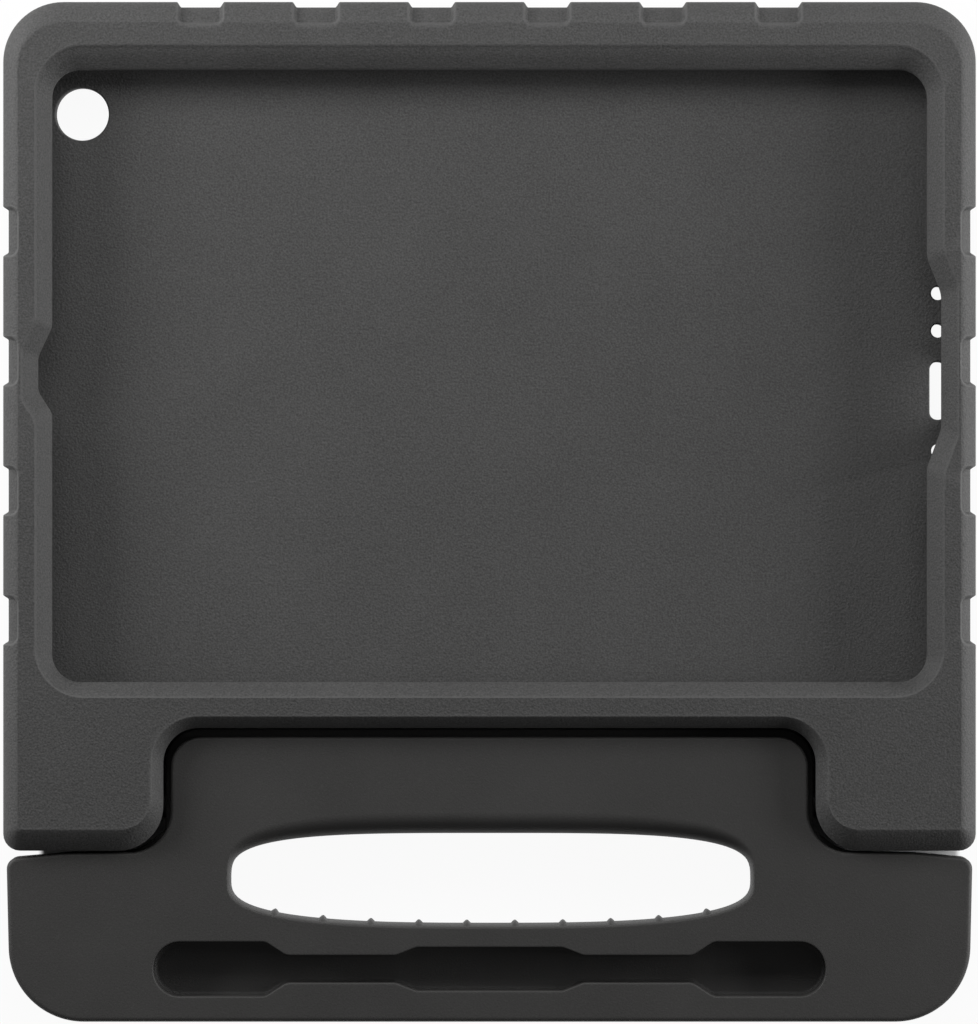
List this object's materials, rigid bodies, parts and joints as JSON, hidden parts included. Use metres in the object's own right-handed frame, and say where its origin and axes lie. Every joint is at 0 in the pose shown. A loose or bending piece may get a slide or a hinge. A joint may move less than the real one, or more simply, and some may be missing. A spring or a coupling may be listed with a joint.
{
  "type": "shockproof tablet case",
  "caption": "Thick foam tablet case with a lipped screen window, grip channels round the edges, and a grip handle with a stylus well that folds back as a stand.",
  "frame": {"origin": "centre of the bounding box on the plane that the back face lies on", "axes": "+Z out of the screen window, +Y from the handle to the far long edge, +X to the end with the charging port"},
  "size_m": [0.2584, 0.271, 0.024],
  "materials": {
    "case_foam": "matt moulded foam with a fine pebbled skin",
    "handle_foam": "matt moulded foam, smoother skin",
    "rod_steel": "drawn steel rod",
    "bush_nylon": "plain black nylon"
  },
  "bodies": {
    "case": {"case_shell": "case_foam", "leg_bush_left": "bush_nylon", "leg_bush_right": "bush_nylon"},
    "handle": {"handle_stand": "handle_foam", "hinge_rod": "rod_steel"}
  },
  "joints": [
    {"name": "handle_fold", "type": "hinge", "parent": "case", "child": "handle", "pos_m": [0, -0.078, 0.006], "axis": [1, 0, 0], "range_deg": [0, 125]}
  ]
}
